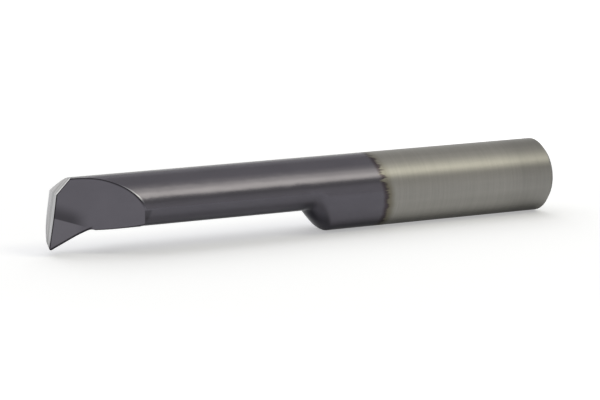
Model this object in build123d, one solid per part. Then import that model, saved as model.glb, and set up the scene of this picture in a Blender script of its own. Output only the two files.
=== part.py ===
from build123d import *
import os
from math import cos, radians, sin, tan

# Solid carbide boring bar, ground from one rod. Millimetres.
# The tool lies along X with its tip towards -X. The origin is the centre of the rear end face,
# the rake face looks towards -Y, and the cutting point hangs down, towards -Z.

# Shank
SHANK_DIAMETER = 6.0
OVERALL_LENGTH = 44.35
REAR_CHAMFER = 0.4

# Neck: the underside is relieved along an arc, and the shank's surface carries on above it
NECK_START = 6.73       # cutting point to the shoulder at the neck's front end
REACH = 22.2            # cutting point to the foot of the step at its rear end
RELIEF_DEPTH = 1.79     # bottom of the shank to the underside of the neck
NECK_ARC_SHARE = 1.1    # radius of the underside, as a share of the shank's
NECK_TAPER = 0.01       # the neck's top comes in by this much, from the step to the front
STEP_ANGLE = 47.5       # of the step's cone, from the tool's axis
STEP_ROUNDING = 0.4     # where the step runs out into the bottom of the shank
WHEEL_CLEARANCE = 0.01  # between the relieving wheel's flank and the bottom of the shank

# Back of the head, between the cutting point's relief and the neck
HEAD_LENGTH = 3.35      # cutting point to where the underside begins
UNDERSIDE_RADIUS = 8.5
UNDERSIDE_HEIGHT = 1.14 # lowest point of the underside, below the shank's axis

# Cutting point and the outline of the head, seen square to the rake face
POINT_DROP = 2.47       # cutting point below the shank's axis
NOSE_RADIUS = 0.15
FRONT_EDGE_ANGLE = 8.3  # the front edge leans back from square by this much
BACK_EDGE_ANGLE = 26.0  # the back edge climbs from the point at this angle to the axis
BACK_WHEEL_RADIUS = 0.8
BACK_RELIEF_HEIGHT = 0.93   # highest point of the back relief, below the shank's axis
HEAD_CLEARANCE = (0.27, 0.22)   # back (+X) and up (+Z) for each 1 mm behind the edges

# Chamfer that takes off the head's upper front corner
CHAMFER = 1.0
CHAMFER_ANGLE = 45.0
CHAMFER_CLEARANCE = 10.5

# Rake face: a flat, an arc and a ramp that climbs out of the bar
RAKE_LEVEL = 0.28       # the flat lies this far above the centre line, towards -Y
RAKE_ARC_RADIUS = 4.0
RAMP_ANGLE = 35.0
RAKE_LENGTH = 6.93      # front of the tool to where the ramp leaves the bar's side

# Facet ground deeper at the cutting point, which brings the edge down to centre height
FACET_ANGLE = 6.2
FACET_DIP = 18.5        # the crease slopes down from the front edge by this much
FACET_HEIGHT = 0.13     # the crease meets the front edge this far above the axis

# Relief on the back of the head, which clears the wall of the bore
BACK_RADIUS = 2.42
BACK_START = 0.5        # behind the rake side's centre plane, where the back edge's own relief takes over
BACK_LENGTH = 4.9
BACK_RUNOUT_ANGLE = 30.0

RADIUS = SHANK_DIAMETER / 2
OUTSIDE = 2 * SHANK_DIAMETER    # reaches past the bar in any direction
FRONT = -OVERALL_LENGTH

# The neck's underside, seen from the end
NECK_ARC_RADIUS = NECK_ARC_SHARE * RADIUS
NECK_FLOOR = RELIEF_DEPTH - RADIUS
NECK_ARC_CENTRE = NECK_FLOOR + NECK_ARC_RADIUS


def in_xz(*points):
    """Points given as (x, z), on the plane that holds the tool's axis and the cutting point."""
    return [Vector(x, 0, z) for x, z in points]


def blank():
    """Round rod, chamfered at the rear and very slightly tapered from the step to the front."""
    outline = Polyline(
        (FRONT - 1, 0),
        (FRONT - 1, RADIUS - NECK_TAPER),
        (FRONT + REACH, RADIUS),
        (-REAR_CHAMFER, RADIUS),
        (0, RADIUS - REAR_CHAMFER),
        (0, 0),
        close=True,
    )
    return revolve(make_face(outline), axis=Axis.X)


def neck_relief():
    """What a wheel takes from around the neck, as it turns about an axis above the shank's own."""
    shoulder = FRONT + NECK_START
    foot = FRONT + REACH
    flank = NECK_ARC_CENTRE + RADIUS + WHEEL_CLEARANCE
    corner = (foot + (flank - NECK_ARC_RADIUS) / tan(radians(STEP_ANGLE)), flank)
    profile = Polyline(
        (shoulder, NECK_ARC_RADIUS),
        (foot, NECK_ARC_RADIUS),
        corner,
        (corner[0] + OUTSIDE, flank),
        (corner[0] + OUTSIDE, flank + OUTSIDE),
        (shoulder, flank + OUTSIDE),
        close=True,
    )
    section = make_face(profile)
    section = fillet(section.vertices().sort_by_distance(corner)[0], STEP_ROUNDING)
    return Pos(0, 0, NECK_ARC_CENTRE) * revolve(section, axis=Axis.X)


def head_underside():
    """What is taken from under the back of the head, down to a flatter arc than the neck's."""
    below = Pos(0, -UNDERSIDE_HEIGHT - OUTSIDE / 2) * Rectangle(2 * OUTSIDE, OUTSIDE + RADIUS)
    kept = Pos(0, UNDERSIDE_RADIUS - UNDERSIDE_HEIGHT) * Circle(UNDERSIDE_RADIUS)
    section = Plane(origin=(FRONT + HEAD_LENGTH, 0, 0), x_dir=(0, 1, 0), z_dir=(1, 0, 0)) * (below - kept)
    return extrude(section, amount=NECK_START - HEAD_LENGTH)


def rake_profile():
    """Outline, from above, of what the rake face's wheel takes away."""
    climb = tan(radians(RAMP_ANGLE))
    ramp_end = FRONT + RAKE_LENGTH
    ramp_foot = ramp_end - (RADIUS - RAKE_LEVEL) / climb
    ramp_top = ramp_end + (OUTSIDE - RADIUS) / climb
    surface = FilletPolyline(
        (FRONT - OUTSIDE, -RAKE_LEVEL),
        (ramp_foot, -RAKE_LEVEL),
        (ramp_top, -OUTSIDE),
        radius=RAKE_ARC_RADIUS,
    )
    back = Polyline((ramp_top, -OUTSIDE), (FRONT - OUTSIDE, -OUTSIDE), (FRONT - OUTSIDE, -RAKE_LEVEL))
    return make_face([*surface.edges(), *back.edges()])


def rake_cut():
    """Main rake face."""
    return extrude(rake_profile(), amount=OUTSIDE, both=True)


def facet_cut():
    """The same wheel path tipped about the crease, so that it goes deeper towards the point."""
    crease = Axis(
        (FRONT, -RAKE_LEVEL, FACET_HEIGHT),
        (cos(radians(FACET_DIP)), 0, -sin(radians(FACET_DIP))),
    )
    return rake_cut().rotate(crease, FACET_ANGLE)


def head_relief():
    """Front and back clearance faces with the nose between them, as one swept wheel path."""
    lean, climb = radians(FRONT_EDGE_ANGLE), radians(BACK_EDGE_ANGLE)
    nose_x, nose_z = FRONT + NOSE_RADIUS, NOSE_RADIUS - POINT_DROP
    nose_front = (nose_x - NOSE_RADIUS * cos(lean), nose_z + NOSE_RADIUS * sin(lean))
    nose_back = (nose_x + NOSE_RADIUS * sin(climb), nose_z - NOSE_RADIUS * cos(climb))
    nose_tip = (nose_x - NOSE_RADIUS * sin(climb), nose_z - NOSE_RADIUS * cos(climb))
    front_top = (nose_front[0] + OUTSIDE * tan(lean), nose_front[1] + OUTSIDE)
    wheel_z = -BACK_RELIEF_HEIGHT - BACK_WHEEL_RADIUS
    touch_z = wheel_z + BACK_WHEEL_RADIUS * cos(climb)
    touch_x = nose_back[0] + (touch_z - nose_back[1]) / tan(climb)
    wheel_x = touch_x + BACK_WHEEL_RADIUS * sin(climb)
    crown = (wheel_x, wheel_z + BACK_WHEEL_RADIUS)
    wheel_end = (wheel_x + BACK_WHEEL_RADIUS, wheel_z)
    front = Line(*in_xz(front_top, nose_front))
    nose = ThreePointArc(*in_xz(nose_front, nose_tip, nose_back))
    back = Line(*in_xz(nose_back, (touch_x, touch_z)))
    rise = ThreePointArc(
        *in_xz(
            (touch_x, touch_z),
            crown,
            wheel_end,
        )
    )
    rest = Polyline(
        *in_xz(
            wheel_end,
            (wheel_end[0], -OUTSIDE),
            (FRONT - OUTSIDE, -OUTSIDE),
            (FRONT - OUTSIDE, front_top[1]),
            front_top,
        )
    )
    outline = make_face([front, nose, back, rise, *rest.edges()])
    recede, lift = HEAD_CLEARANCE
    sweep = Vector(recede, 1, lift) * OUTSIDE
    return extrude(outline.moved(Location(-sweep)), amount=2 * sweep.length, dir=sweep.normalized())


def chamfer_cut():
    """Clearance face behind the chamfered corner."""
    turn = radians(CHAMFER_ANGLE)
    lean = tan(radians(CHAMFER_CLEARANCE))
    edge_end = Vector(
        FRONT + (RADIUS + POINT_DROP) * tan(radians(FRONT_EDGE_ANGLE)) + CHAMFER, 0, RADIUS
    )
    outward = Vector(-sin(turn), lean, cos(turn))
    face = Plane(origin=edge_end, z_dir=outward)
    return extrude(face * Rectangle(4 * OUTSIDE, 4 * OUTSIDE), amount=OUTSIDE)


def back_relief():
    """What is taken from the far side of the head: outside a round lower half and a flat above it."""
    kept = Circle(BACK_RADIUS) + Pos(0, OUTSIDE / 2) * Rectangle(2 * BACK_RADIUS, OUTSIDE)
    far_side = Pos(BACK_START + OUTSIDE / 2, 0) * Rectangle(OUTSIDE, 2 * OUTSIDE)
    end = FRONT + BACK_LENGTH
    slope = 1 / tan(radians(BACK_RUNOUT_ANGLE))
    section = Plane.YZ * (far_side - kept)
    cut = Pos(end, 0, 0) * extrude(section, amount=OVERALL_LENGTH, both=True)
    runout = Polyline(
        (FRONT - OUTSIDE, -OUTSIDE),
        (end - slope * (OUTSIDE + BACK_RADIUS), -OUTSIDE),
        (end + slope * (OUTSIDE - BACK_RADIUS), OUTSIDE),
        (FRONT - OUTSIDE, OUTSIDE),
        close=True,
    )
    return cut & extrude(make_face(runout), amount=OUTSIDE, both=True)


def boring_bar():
    """All of the grinding cuts, in the order they are made."""
    rod = blank() - neck_relief() - head_underside()
    rod -= rake_cut()
    rod -= facet_cut()
    rod -= head_relief()
    rod -= chamfer_cut()
    rod -= back_relief()
    return rod


os.makedirs("parts", exist_ok=True)
bar = boring_bar()
export_step(bar, "parts/boring_bar.step")
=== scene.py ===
"""A small solid carbide boring bar, lying with its cutting point down on white paper.

The bar is one ground piece of tungsten carbide, with a dark hard coating over its front two thirds.
Lengths are in metres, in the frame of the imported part: the axis along X with the rear face at x = 0,
the rake face towards -Y and the cutting point towards -Z.
"""

import math

import bpy
from mathutils import Matrix, Vector

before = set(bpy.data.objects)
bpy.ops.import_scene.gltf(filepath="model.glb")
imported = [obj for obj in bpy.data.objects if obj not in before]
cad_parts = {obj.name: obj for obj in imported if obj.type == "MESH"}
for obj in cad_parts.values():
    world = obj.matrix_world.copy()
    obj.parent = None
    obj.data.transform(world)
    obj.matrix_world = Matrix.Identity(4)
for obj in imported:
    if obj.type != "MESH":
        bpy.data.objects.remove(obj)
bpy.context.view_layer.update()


# ---------------------------------------------------------------------------------------------
# Camera. A long lens about 0.22 m away and a little above the paper. It looks at the rake side
# from the cutting end's quarter, so that the bar runs away to the right.
MM = 0.001
SENSOR_WIDTH = 36.0     # lens and sensor are in millimetres
FOCAL_LENGTH = 164.96
CAMERA_PLACE = Vector((-127.59, -188.86, 36.59)) * MM
YAW = math.radians(-29.09)
RISE = math.radians(9.71)
NEAREST_SEEN = 0.01
FARTHEST_SEEN = 20.0

camera_data = bpy.data.cameras.new("camera")
camera_data.sensor_fit = "HORIZONTAL"
camera_data.sensor_width = SENSOR_WIDTH
camera_data.lens = FOCAL_LENGTH
camera_data.clip_start = NEAREST_SEEN
camera_data.clip_end = FARTHEST_SEEN
camera = bpy.data.objects.new("camera", camera_data)
bpy.context.scene.collection.objects.link(camera)
right = Vector((math.cos(YAW), math.sin(YAW), 0.0))
back = Vector((math.sin(YAW) * math.cos(RISE), -math.cos(YAW) * math.cos(RISE), math.sin(RISE)))
camera_turn = Matrix((right, back.cross(right), back)).transposed().to_4x4()
camera.matrix_world = Matrix.Translation(CAMERA_PLACE) @ camera_turn
bpy.context.scene.camera = camera


# ---------------------------------------------------------------------------------------------
# The bar. One piece of fine-grained tungsten carbide, ground all over from a round rod. Its
# finishes are tones of one material, each laid out from the cuts that the wheels made.
SHANK_RADIUS = 3.0 * MM
FRONT = -44.35 * MM

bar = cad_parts["boring_bar"]
carbide = bpy.data.materials.new("coated_carbide")
carbide.use_nodes = True
tree = carbide.node_tree
tree.nodes.clear()


def plug(tree, source, socket):
    """Links a socket to an input, or sets the input to a plain number or colour."""
    if isinstance(source, bpy.types.NodeSocket):
        tree.links.new(source, socket)
    elif isinstance(source, tuple) and len(source) == 3 and socket.type == "RGBA":
        socket.default_value = (*source, 1.0)
    else:
        socket.default_value = source


def maths(tree, operation, *sources):
    made = tree.nodes.new("ShaderNodeMath")
    made.operation = operation
    for source, socket in zip(sources, made.inputs):
        plug(tree, source, socket)
    return made.outputs[0]


def product(tree, first, *factors):
    for factor in factors:
        first = maths(tree, "MULTIPLY", first, factor)
    return first


def largest(tree, first, *others):
    for other in others:
        first = maths(tree, "MAXIMUM", first, other)
    return first


def distance(tree, across, up):
    """Length of a line that runs so far across and so far up."""
    squares = maths(tree, "ADD", product(tree, across, across), product(tree, up, up))
    return maths(tree, "SQRT", squares)


def parted(tree, vector):
    """The three parts of a vector."""
    made = tree.nodes.new("ShaderNodeSeparateXYZ")
    tree.links.new(vector, made.inputs[0])
    return made.outputs


def eased(tree, source, zero_at, one_at):
    """0 at one end, 1 at the other, with a smooth run between them."""
    made = tree.nodes.new("ShaderNodeMapRange")
    made.interpolation_type = "SMOOTHSTEP"
    plug(tree, source, made.inputs["Value"])
    if zero_at < one_at:
        made.inputs["From Min"].default_value = zero_at
        made.inputs["From Max"].default_value = one_at
    else:
        made.inputs["From Min"].default_value = one_at
        made.inputs["From Max"].default_value = zero_at
        made.inputs["To Min"].default_value = 1.0
        made.inputs["To Max"].default_value = 0.0
    return made.outputs["Result"]


def height_over(tree, point, origin, normal):
    """Distance of a point in front of a plane."""
    dot = tree.nodes.new("ShaderNodeVectorMath")
    dot.operation = "DOT_PRODUCT"
    plug(tree, point, dot.inputs[0])
    dot.inputs[1].default_value = normal
    return maths(tree, "SUBTRACT", dot.outputs["Value"], origin.dot(normal))


def grain(tree, point, stretch, detail, roughness):
    """Noise from 0 to 1, with so many grains to the metre along each axis."""
    spread = tree.nodes.new("ShaderNodeMapping")
    plug(tree, point, spread.inputs["Vector"])
    spread.inputs["Scale"].default_value = stretch
    made = tree.nodes.new("ShaderNodeTexNoise")
    made.inputs["Scale"].default_value = 1.0
    made.inputs["Detail"].default_value = detail
    made.inputs["Roughness"].default_value = roughness
    tree.links.new(spread.outputs["Vector"], made.inputs["Vector"])
    return made.outputs["Fac"]


def shifted(tree, base, noise, reach):
    """The base, moved by a grain up to half of that reach either way."""
    return maths(tree, "MULTIPLY_ADD", maths(tree, "SUBTRACT", noise, 0.5), reach, base)


def socket_of(sockets, identifier):
    """A Mix node has several sockets of one name, told apart by their identifiers."""
    return next(socket for socket in sockets if socket.identifier == identifier)


def blend(tree, share, first, second, kind="MIX"):
    """Colour between first and second, or the two multiplied, by that share."""
    made = tree.nodes.new("ShaderNodeMix")
    made.data_type = "RGBA"
    made.blend_type = kind
    plug(tree, share, made.inputs["Factor"])
    plug(tree, first, socket_of(made.inputs, "A_Color"))
    plug(tree, second, socket_of(made.inputs, "B_Color"))
    return socket_of(made.outputs, "Result_Color")


place = tree.nodes.new("ShaderNodeTexCoord")
point = place.outputs["Object"]
x, y, z = parted(tree, point)
face_x, face_y, face_z = parted(tree, place.outputs["Normal"])
from_axis = distance(tree, y, z)


# ---------------------------------------------------------------------------------------------
# The hard coating. A dark violet-grey film, a few thousandths of a millimetre thick, laid on in
# vacuum over the head, the neck and the front of the shank. Its tone shifts with its thickness.
COATED = (0.108, 0.103, 0.119)
COATED_DEEP = (0.083, 0.079, 0.092)
CLOUDS = (260.0, 700.0, 700.0)

clouds = grain(tree, point, CLOUDS, detail=3.0, roughness=0.6)
coated_colour = blend(tree, clouds, COATED_DEEP, COATED)


# ---------------------------------------------------------------------------------------------
# The bare shank. The carbide's own grey, ground round between centres. It keeps fine rings from
# the wheel and long rub marks from its holders. Painted shade darkens it towards the rear end.
BARE = (0.266, 0.259, 0.240)
BARE_DEEP = (0.198, 0.194, 0.180)
BARE_REAR_SHADE = (0.120, 0.118, 0.112)
RINGS = (5200.0, 220.0, 220.0)
RUB_MARKS = (30.0, 1300.0, 1300.0)
RUB_REACH = 0.75
REAR_SHADE_ALONG = (-5.2 * MM, -2.4 * MM)
REAR_SHADE_SHARE = 0.30

rings = grain(tree, point, RINGS, detail=4.0, roughness=0.7)
rub_marks = grain(tree, point, RUB_MARKS, detail=2.0, roughness=0.5)
bare_colour = blend(tree, shifted(tree, rings, rub_marks, RUB_REACH), BARE_DEEP, BARE)
# Painted shade: the shank darkens towards its rear end, where its highlight fades off.
rear_shade = product(tree, eased(tree, x, *REAR_SHADE_ALONG), REAR_SHADE_SHARE)
bare_colour = blend(tree, rear_shade, bare_colour, BARE_REAR_SHADE)


# ---------------------------------------------------------------------------------------------
# The coating's end. A ragged ring about 16 mm from the rear, where the fixture covered the shank.
# The film is dark at its very edge, and the metal behind it took a straw tint.
EDGE_AT = -16.22 * MM
EDGE_LEAN = -0.11       # along the bar for each metre of height
EDGE_BOW = -22.0        # and for each metre of height squared
EDGE_WAVES = (100.0, 900.0, 900.0)
WAVE_REACH = 0.5 * MM
TEETH = (260.0, 5600.0, 5600.0)
TEETH_HEIGHT = (-0.8 * MM, 0.8 * MM)    # the teeth are longer over the top of the bar
TEETH_REACH = -1.0 * MM
TEETH_REACH_MORE = -1.2 * MM
BARE_BEHIND = (-0.05 * MM, 0.10 * MM)
TINT = (0.116, 0.105, 0.073)
TINT_BEHIND = (0.95 * MM, 0.20 * MM)
TINT_HEIGHT = (0.4 * MM, 1.6 * MM)      # and the tint is fainter there
TINT_SHARE = 0.80
TINT_LOSS = -0.40
RIM_DARK = (0.045, 0.036, 0.040)
RIM_STARTS = (-0.45 * MM, -0.05 * MM)
RIM_LEAVES_TEETH = (0.26 * MM, 0.02 * MM)
RIM_ENDS = (0.60 * MM, 0.10 * MM)
RIM_SHARE = 0.82

teeth = grain(tree, point, TEETH, detail=4.0, roughness=0.68)
waves = grain(tree, point, EDGE_WAVES, detail=2.0, roughness=0.5)
edge = maths(tree, "MULTIPLY_ADD", z, EDGE_LEAN, EDGE_AT)
edge = maths(tree, "MULTIPLY_ADD", product(tree, z, z), EDGE_BOW, edge)
edge = shifted(tree, edge, waves, WAVE_REACH)
past_edge = maths(tree, "SUBTRACT", x, edge)
teeth_reach = maths(tree, "MULTIPLY_ADD", eased(tree, z, *TEETH_HEIGHT), TEETH_REACH_MORE, TEETH_REACH)
past_teeth = shifted(tree, past_edge, teeth, teeth_reach)
bare = eased(tree, largest(tree, past_edge, past_teeth), *BARE_BEHIND)

tint_share = maths(tree, "MULTIPLY_ADD", eased(tree, z, *TINT_HEIGHT), TINT_LOSS, TINT_SHARE)
tinted = product(tree, eased(tree, past_edge, *TINT_BEHIND), tint_share)
colour = blend(tree, bare, coated_colour, blend(tree, tinted, bare_colour, TINT))
rim = product(
    tree,
    eased(tree, past_edge, *RIM_STARTS),
    eased(tree, past_teeth, *RIM_LEAVES_TEETH),
    eased(tree, past_edge, *RIM_ENDS),
    RIM_SHARE,
)
colour = blend(tree, rim, colour, RIM_DARK)


# ---------------------------------------------------------------------------------------------
# The rear chamfer. A small cone ground on the shank's end. Painted shade makes it darker than the
# shank and darkest towards the rear face, for the dark it mirrors.
REAR_CHAMFER_SHADE = (0.030, 0.029, 0.028)
REAR_CHAMFER_ALONG = (-0.42 * MM, -0.36 * MM)
REAR_CHAMFER_SHARE = 0.25
REAR_CHAMFER_END_ALONG = (-0.22 * MM, -0.05 * MM)
REAR_CHAMFER_END_SHARE = 0.40
OUTSIDE_REAR_FACE = (2.50 * MM, 2.58 * MM)

# Painted shade on the rear chamfer.
chamfer_shade = product(tree, eased(tree, x, *REAR_CHAMFER_ALONG), REAR_CHAMFER_SHARE)
chamfer_end_shade = eased(tree, x, *REAR_CHAMFER_END_ALONG)
chamfer_shade = maths(tree, "MULTIPLY_ADD", chamfer_end_shade, REAR_CHAMFER_END_SHARE, chamfer_shade)
chamfer_shade = product(tree, chamfer_shade, eased(tree, from_axis, *OUTSIDE_REAR_FACE))
colour = blend(tree, chamfer_shade, colour, REAR_CHAMFER_SHADE)


# ---------------------------------------------------------------------------------------------
# The corner at the neck's front end, where the relieving wheel came up to the shoulder of the
# head. Painted shade makes it darker than the neck beside it.
NECK_START = FRONT + 6.73 * MM
NECK_CORNER_SHADE = (0.022, 0.020, 0.023)
NECK_CORNER_STARTS = (NECK_START - 0.01 * MM, NECK_START)
NECK_CORNER_ENDS = (NECK_START + 0.72 * MM, NECK_START + 0.45 * MM)
UNDER_ROUND = (2.96 * MM, 2.85 * MM)
NECK_CORNER_SHARE = 0.42

# Painted shade in the corner by the shoulder.
corner_shade = product(
    tree,
    eased(tree, x, *NECK_CORNER_STARTS),
    eased(tree, x, *NECK_CORNER_ENDS),
    eased(tree, from_axis, *UNDER_ROUND),
    NECK_CORNER_SHARE,
)
colour = blend(tree, corner_shade, colour, NECK_CORNER_SHADE)


# ---------------------------------------------------------------------------------------------
# Rake side of the head: the ground flat, its ramp, and the facet ground deeper at the point. It
# is coated, darker in the hollow above the crease, and lighter on the facet by a painted highlight.
RAKE_LEVEL = -0.28 * MM
RAMP_END = Vector((FRONT + 6.93 * MM, -SHANK_RADIUS, 0.0))
RAMP_ANGLE = math.radians(35.0)
RAMP_SIDE = Vector((-math.sin(RAMP_ANGLE), -math.cos(RAMP_ANGLE), 0.0))
CREASE = Vector((FRONT, RAKE_LEVEL, 0.13 * MM))
CREASE_DIP = math.radians(18.5)
CREASE_SIDE = Vector((math.sin(CREASE_DIP), 0.0, math.cos(CREASE_DIP)))
RAKE_FACING = (-0.70, -0.78)            # how far a face has to look towards -Y
RAKE_UPRIGHT = (0.25, 0.20)             # and how little up or down
RAKE_ENDS = (-37.40 * MM, -37.50 * MM)
RAKE_COLOUR = (0.165, 0.155, 0.175)
RAKE_SHARE = 0.15
HOLLOW_DARK = (0.020, 0.019, 0.021)
HOLLOW_ABOVE = (1.35 * MM, 0.2 * MM)
HOLLOW_BELOW = (-0.06 * MM, 0.02 * MM)
HOLLOW_ALONG = (-41.0 * MM, -42.7 * MM)
HOLLOW_SHARE = 0.62
FACET_HIGHLIGHT = (0.165, 0.158, 0.175)
FACET_BELOW = (0.02 * MM, -0.03 * MM)
FACET_ALONG = (-41.6 * MM, -42.3 * MM)
FACET_SHARE = 0.28

rake_side = product(
    tree,
    eased(tree, face_y, *RAKE_FACING),
    eased(tree, x, *RAKE_ENDS),
    eased(tree, maths(tree, "ABSOLUTE", face_z), *RAKE_UPRIGHT),
)
colour = blend(tree, product(tree, rake_side, RAKE_SHARE), colour, RAKE_COLOUR)
over_crease = height_over(tree, point, CREASE, CREASE_SIDE)
hollow = product(
    tree,
    eased(tree, over_crease, *HOLLOW_ABOVE),
    eased(tree, over_crease, *HOLLOW_BELOW),
    eased(tree, x, *HOLLOW_ALONG),
    rake_side,
    HOLLOW_SHARE,
)
colour = blend(tree, hollow, colour, HOLLOW_DARK)
# Painted highlight: the facet is made lighter, for the light it mirrors.
facet_highlight = product(
    tree,
    eased(tree, over_crease, *FACET_BELOW),
    eased(tree, x, *FACET_ALONG),
    rake_side,
    FACET_SHARE,
)
colour = blend(tree, facet_highlight, colour, FACET_HIGHLIGHT)


# ---------------------------------------------------------------------------------------------
# Honed edges of the rake side. A fine dark line of painted shade along every ground edge: the front
# and chamfered edges, the back edge near the point, the underside behind it, and the round of the bar's side.
POINT = Vector((FRONT, 0.0, -2.47 * MM))
FRONT_LEAN = math.radians(8.3)          # the front edge leans back from square
BACK_CLIMB = math.radians(26.0)         # the back edge climbs from the point
CLEARANCE = Vector((0.27, 1.0, 0.22))   # way that the faces behind both edges run
FRONT_SIDE = Vector((math.sin(FRONT_LEAN), 0.0, math.cos(FRONT_LEAN))).cross(CLEARANCE).normalized()
BACK_SIDE = CLEARANCE.cross(Vector((math.cos(BACK_CLIMB), 0.0, math.sin(BACK_CLIMB)))).normalized()
TOP_CORNER_WIDTH = 1.0 * MM
TOP_CORNER_TURN = math.radians(45.0)
TOP_CORNER_CLEARANCE = math.radians(10.5)
TOP_CORNER_SIDE = Vector((
    -math.sin(TOP_CORNER_TURN), math.tan(TOP_CORNER_CLEARANCE), math.cos(TOP_CORNER_TURN)
)).normalized()
TOP_CORNER_END_X = FRONT + (SHANK_RADIUS - POINT.z) * math.tan(FRONT_LEAN) + TOP_CORNER_WIDTH
TOP_CORNER_END = Vector((TOP_CORNER_END_X, 0.0, SHANK_RADIUS))
UNDERSIDE_RADIUS = 8.5 * MM
UNDERSIDE_CENTRE = UNDERSIDE_RADIUS - 1.14 * MM
LINE = 0.10 * MM
LINE_FADES = (-LINE, -0.3 * LINE)
SIDE_LINE_FADES = (-1.5 * LINE, -0.5 * LINE)
SIDE_LINE_HEIGHT = (0.5 * MM, 1.3 * MM)
BACK_EDGE_ALONG = (-40.9 * MM, -41.2 * MM)
EDGE_SHADE = (0.012, 0.011, 0.013)
LINE_SHARE = 0.85

to_front = height_over(tree, point, POINT, FRONT_SIDE)
to_back = height_over(tree, point, POINT, BACK_SIDE)
to_top_corner = height_over(tree, point, TOP_CORNER_END, TOP_CORNER_SIDE)
under_centre = maths(tree, "SUBTRACT", UNDERSIDE_CENTRE, z)
to_underside = maths(tree, "SUBTRACT", distance(tree, y, under_centre), UNDERSIDE_RADIUS)
to_side = maths(tree, "SUBTRACT", from_axis, SHANK_RADIUS)
near_point = eased(tree, x, *BACK_EDGE_ALONG)
past_point = maths(tree, "SUBTRACT", 1.0, near_point)
edge_shade = largest(
    tree,
    eased(tree, largest(tree, to_front, to_top_corner), *LINE_FADES),
    product(tree, eased(tree, to_back, *LINE_FADES), near_point),
    product(tree, eased(tree, to_underside, *LINE_FADES), past_point),
    product(tree, eased(tree, to_side, *SIDE_LINE_FADES), eased(tree, z, *SIDE_LINE_HEIGHT)),
)
# Painted shade along the honed edges, for their rounding.
colour = blend(tree, product(tree, edge_shade, rake_side, LINE_SHARE), colour, EDGE_SHADE)


# ---------------------------------------------------------------------------------------------
# The lip on the bar's side, where the ramp leaves it. The hone broke this edge, and a painted
# highlight along it stands in for the light it catches.
LIP_HIGHLIGHT = (0.27, 0.275, 0.30)
LIP_WIDTH = (-0.10 * MM, -0.05 * MM)
LIP_FACING = (-0.99, -0.97)
LIP_ON_ROUND = (2.97 * MM, 2.98 * MM)
LIP_TOP = (2.6 * MM, 2.1 * MM)
LIP_FOOT = (0.9 * MM, 1.3 * MM)
LIP_SHARE = 0.55

# Painted highlight along the lip.
lip_highlight = product(
    tree,
    eased(tree, height_over(tree, point, RAMP_END, RAMP_SIDE), *LIP_WIDTH),
    eased(tree, face_y, *LIP_FACING),
    maths(tree, "SUBTRACT", 1.0, rake_side),
    eased(tree, from_axis, *LIP_ON_ROUND),
    eased(tree, z, *LIP_TOP),
    eased(tree, z, *LIP_FOOT),
    LIP_SHARE,
)
colour = blend(tree, lip_highlight, colour, LIP_HIGHLIGHT)


# ---------------------------------------------------------------------------------------------
# Clearance faces at the front, ground last. They are much lighter than the coated faces, partly
# from the grinding and partly from painted light, with the wheel's fine lines down them. Painted
# shade darkens the chamfered corner's face, and a painted highlight runs along its edge.
FLANK_LIT = (0.590, 0.587, 0.600)
FLANK_DEEP = (0.320, 0.318, 0.322)
WHEEL_LINES = (300.0, 1500.0, 90.0)
WHEEL_LINE_DEPTH = (0.35, 0.65)
FLANK_FACING = (-0.55, -0.65)
FLANK_ALONG = (-42.30 * MM, -42.35 * MM)
TOP_CORNER_FACING = (0.25, 0.55)
TOP_CORNER_SHADE = (0.86, 0.86, 0.86)
BURR_HIGHLIGHT = (0.75, 0.75, 0.76)
BURR_WIDTH = (0.02 * MM, -0.10 * MM)
BURR_FACING = (0.45, 0.55)

wheel_lines = grain(tree, point, WHEEL_LINES, detail=3.0, roughness=0.8)
flank_colour = blend(tree, eased(tree, wheel_lines, *WHEEL_LINE_DEPTH), FLANK_DEEP, FLANK_LIT)
# Painted shade on the chamfered corner's face, and a painted highlight along its edge.
at_top_corner = eased(tree, face_z, *TOP_CORNER_FACING)
flank_colour = blend(tree, at_top_corner, flank_colour, TOP_CORNER_SHADE, "MULTIPLY")
burr_highlight = product(tree, eased(tree, y, *BURR_WIDTH), eased(tree, face_z, *BURR_FACING))
flank_colour = blend(tree, burr_highlight, flank_colour, BURR_HIGHLIGHT)
flank = product(tree, eased(tree, face_x, *FLANK_FACING), eased(tree, x, *FLANK_ALONG))
colour = blend(tree, flank, colour, flank_colour)


# ---------------------------------------------------------------------------------------------
# The step under the bar, between neck and shank. The relieving wheel left it soft, so its edges
# shade as rounded ones. Its lower face is given a dimmer glancing reflection, painted shade that
# darkens it near the silhouette.
STEP_ROUNDING = 0.9 * MM
ROUNDING_SAMPLES = 12
ROUNDED_FROM = (-23.7 * MM, -22.9 * MM)
ROUNDED_TO = (-18.4 * MM, -19.2 * MM)
ROUNDED_HEIGHT = (1.2 * MM, 0.2 * MM)
STEP_FROM = (-25.4 * MM, -24.9 * MM)
STEP_TO = (-20.9 * MM, -21.6 * MM)
STEP_FACING = (-0.12, -0.45)
STEP_HEIGHT = (-0.8 * MM, -1.4 * MM)
GLANCE = (0.6, 0.6, 0.6)
STEP_SHADE_GLANCE = (0.42, 0.42, 0.42)

rounded = product(
    tree,
    eased(tree, x, *ROUNDED_FROM),
    eased(tree, x, *ROUNDED_TO),
    eased(tree, z, *ROUNDED_HEIGHT),
)
soft = tree.nodes.new("ShaderNodeBevel")
soft.samples = ROUNDING_SAMPLES
soft.inputs["Radius"].default_value = STEP_ROUNDING
geometry = tree.nodes.new("ShaderNodeNewGeometry")
turned = tree.nodes.new("ShaderNodeMix")
turned.data_type = "VECTOR"
tree.links.new(rounded, turned.inputs["Factor"])
tree.links.new(geometry.outputs["Normal"], socket_of(turned.inputs, "A_Vector"))
tree.links.new(soft.outputs["Normal"], socket_of(turned.inputs, "B_Vector"))

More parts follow.
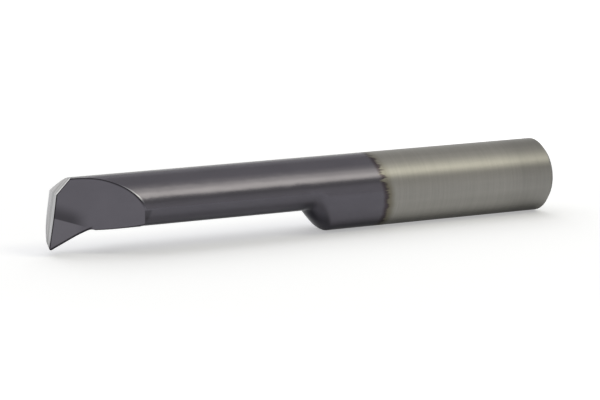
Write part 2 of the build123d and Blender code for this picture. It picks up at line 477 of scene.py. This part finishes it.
# Painted shade: the step's lower face reflects less at a glance.
step_face = product(
    tree,
    eased(tree, x, *STEP_TO),
    eased(tree, x, *STEP_FROM),
    eased(tree, face_x, *STEP_FACING),
    eased(tree, z, *STEP_HEIGHT),
)
step_glance_shade = blend(tree, step_face, GLANCE, STEP_SHADE_GLANCE)


# ---------------------------------------------------------------------------------------------
# The metal itself. Coated or bare, the bar shades as ground metal, and the bare shank is the
# rougher of the two.
COATED_ROUGHNESS = 0.23
BARE_ROUGHER = 0.15

shader = tree.nodes.new("ShaderNodeBsdfPrincipled")
shader.inputs["Metallic"].default_value = 1.0
tree.links.new(colour, shader.inputs["Base Color"])
tree.links.new(step_glance_shade, shader.inputs["Specular Tint"])
tree.links.new(socket_of(turned.outputs, "Result_Vector"), shader.inputs["Normal"])
roughness = maths(tree, "MULTIPLY_ADD", bare, BARE_ROUGHER, COATED_ROUGHNESS)
tree.links.new(roughness, shader.inputs["Roughness"])
out = tree.nodes.new("ShaderNodeOutputMaterial")
tree.links.new(shader.outputs[0], out.inputs["Surface"])
for slot in bar.material_slots:
    slot.material = carbide


# ---------------------------------------------------------------------------------------------
# The table: a wide sheet of white paper that the shank lies on. Away from the bar it is lit to
# plain white. For the metal's reflections only, it glows with a painted reflection that is brightest
# in front of the bar, and a painted shadow takes that glow away close under the bar and neck.
TABLE_HEIGHT = -SHANK_RADIUS
TABLE_WIDTH = 6.0
PAPER = (0.82, 0.825, 0.84, 1.0)
BAR_MIDDLE = (-0.022, 0.0, 0.0)
WHITE_AWAY = (0.030, 0.080)
PAPER_GLOW = 0.38
GLOW_AWAY = 0.35
MIRRORED_GLOW = 0.44
MIRRORED_FRONT_GLOW = 0.16
MIRRORED_FRONT = (-10.0 * MM, -3.0 * MM)
OPEN_IN_FRONT = (-0.8 * MM, -2.8 * MM)
OPEN_BEHIND = (4.0 * MM, 14.0 * MM)
UNDER_SHANK = (-22.5 * MM, -21.0 * MM)
UNDER_SHANK_SHARE = 0.35
UNDER_NECK = (-20.5 * MM, -22.5 * MM)
UNDER_NECK_ACROSS = (1.0 * MM, -0.5 * MM)
UNDER_NECK_SHARE = 0.65

paper = bpy.data.materials.new("white_paper")
paper.use_nodes = True
tree = paper.node_tree
tree.nodes.clear()
diffuse = tree.nodes.new("ShaderNodeBsdfDiffuse")
diffuse.inputs["Color"].default_value = PAPER
path = tree.nodes.new("ShaderNodeLightPath")
place = tree.nodes.new("ShaderNodeTexCoord")
along, across, _ = parted(tree, place.outputs["Object"])

away = tree.nodes.new("ShaderNodeVectorMath")
away.operation = "DISTANCE"
tree.links.new(place.outputs["Object"], away.inputs[0])
away.inputs[1].default_value = BAR_MIDDLE
far = eased(tree, away.outputs["Value"], *WHITE_AWAY)
seen_glow = maths(tree, "MULTIPLY_ADD", far, GLOW_AWAY, PAPER_GLOW)
seen_glow = product(tree, path.outputs["Is Camera Ray"], seen_glow)

# Painted shadow: where the mirrored glow is taken away, under the shank and the neck.
unshadowed_glow = largest(
    tree,
    eased(tree, across, *OPEN_IN_FRONT),
    eased(tree, across, *OPEN_BEHIND),
    product(tree, eased(tree, along, *UNDER_SHANK), UNDER_SHANK_SHARE),
    product(tree, eased(tree, along, *UNDER_NECK), eased(tree, across, *UNDER_NECK_ACROSS), UNDER_NECK_SHARE),
)
mirrored_glow = maths(
    tree, "MULTIPLY_ADD", eased(tree, across, *MIRRORED_FRONT), MIRRORED_FRONT_GLOW, MIRRORED_GLOW
)
mirrored = largest(tree, path.outputs["Is Glossy Ray"], path.outputs["Is Transmission Ray"])
mirrored_glow = product(tree, mirrored, mirrored_glow, unshadowed_glow)

glow = tree.nodes.new("ShaderNodeEmission")
tree.links.new(maths(tree, "ADD", mirrored_glow, seen_glow), glow.inputs["Strength"])
both = tree.nodes.new("ShaderNodeAddShader")
tree.links.new(diffuse.outputs[0], both.inputs[0])
tree.links.new(glow.outputs[0], both.inputs[1])
out = tree.nodes.new("ShaderNodeOutputMaterial")
tree.links.new(both.outputs[0], out.inputs["Surface"])

bpy.ops.mesh.primitive_plane_add(size=TABLE_WIDTH, location=(0.0, 0.0, TABLE_HEIGHT))
floor = bpy.context.object
floor.name = "table"
floor.data.materials.append(paper)


# ---------------------------------------------------------------------------------------------
# The room. White walls all round, which the metal shows with a duller strip between the table
# and the soft boxes. The paper is lit from the ceiling, mostly from behind the bar.
WHITE = (1.0, 1.0, 1.0)
MIRRORED_WALLS = (0.95, 0.94, 0.92)
STRIP_STARTS = (0.30, 0.46)
STRIP_ENDS = (0.66, 0.52)
STRIP_LOSS = -0.50
CEILING_SIDE = Vector((0.0, 0.57, 0.82))
CEILING_SPREAD = (0.45, 0.92)
CEILING_LIGHT = 0.93
WALL_LIGHT = 0.20

world = bpy.data.worlds.new("room")
bpy.context.scene.world = world
world.use_nodes = True
tree = world.node_tree
tree.nodes.clear()
path = tree.nodes.new("ShaderNodeLightPath")
place = tree.nodes.new("ShaderNodeTexCoord")
way = place.outputs["Generated"]
_, _, steep = parted(tree, way)
strip = product(tree, eased(tree, steep, *STRIP_STARTS), eased(tree, steep, *STRIP_ENDS))
walls = maths(tree, "MULTIPLY_ADD", strip, STRIP_LOSS, 1.0)
overhead = height_over(tree, way, Vector((0.0, 0.0, 0.0)), CEILING_SIDE)
ceiling = maths(tree, "MULTIPLY_ADD", eased(tree, overhead, *CEILING_SPREAD), CEILING_LIGHT, WALL_LIGHT)
shown = largest(tree, path.outputs["Is Glossy Ray"], path.outputs["Is Transmission Ray"])
level = blend(tree, path.outputs["Is Camera Ray"], blend(tree, shown, ceiling, walls), WHITE)
room = tree.nodes.new("ShaderNodeBackground")
tree.links.new(blend(tree, shown, WHITE, MIRRORED_WALLS), room.inputs["Color"])
tree.links.new(level, room.inputs["Strength"])
out = tree.nodes.new("ShaderNodeOutputWorld")
tree.links.new(room.outputs[0], out.inputs["Surface"])


# ---------------------------------------------------------------------------------------------
# The soft boxes. A bank of three warm ones hangs over the bar on the camera's side, brightest
# at its lower edge, and a low white one stands behind the bar.
BOX_REACH = 0.62        # from the bar's axis to the boxes
BANK_LEFT = 0.14
BANK_RIGHT = 0.46
WARM = (1.0, 0.978, 0.80)


def soft_box(name, centre, aim, width, height, radiance, tint):
    """A rectangular lamp at centre that faces aim, as wide along X and as high as given."""
    lamp = bpy.data.lights.new(name, "AREA")
    lamp.shape = "RECTANGLE"
    lamp.size = width
    lamp.size_y = height
    lamp.energy = radiance * math.pi * width * height
    lamp.color = tint
    box = bpy.data.objects.new(name, lamp)
    bpy.context.scene.collection.objects.link(box)
    outward = (centre - aim).normalized()
    across = (Vector((1.0, 0.0, 0.0)) - outward * outward.x).normalized()
    turned = Matrix((across, outward.cross(across), outward)).transposed().to_4x4()
    box.matrix_world = Matrix.Translation(centre) @ turned
    box.visible_camera = False


def bank(name, low, high, left, right, radiance, tint):
    """A soft box that reaches from one angle above the table to another, round the bar's axis."""
    lift = math.radians((low + high) / 2)
    height = 2 * BOX_REACH * math.tan(math.radians((high - low) / 2))
    middle = (left + right) / 2
    centre = Vector((middle, -math.cos(lift) * BOX_REACH, math.sin(lift) * BOX_REACH))
    soft_box(name, centre, Vector((middle, 0.0, 0.0)), right - left, height, radiance, tint)


bank("front_box", low=45.0, high=61.0, left=BANK_LEFT, right=BANK_RIGHT, radiance=3.5, tint=WARM)
bank("middle_box", low=61.0, high=75.0, left=BANK_LEFT, right=BANK_RIGHT, radiance=1.7, tint=WARM)
bank("top_box", low=75.0, high=88.0, left=BANK_LEFT, right=BANK_RIGHT, radiance=0.4, tint=WARM)
bank("rear_box", low=135.0, high=172.0, left=-0.10, right=0.50, radiance=0.7, tint=WHITE)

bpy.context.scene.view_settings.view_transform = "Standard"
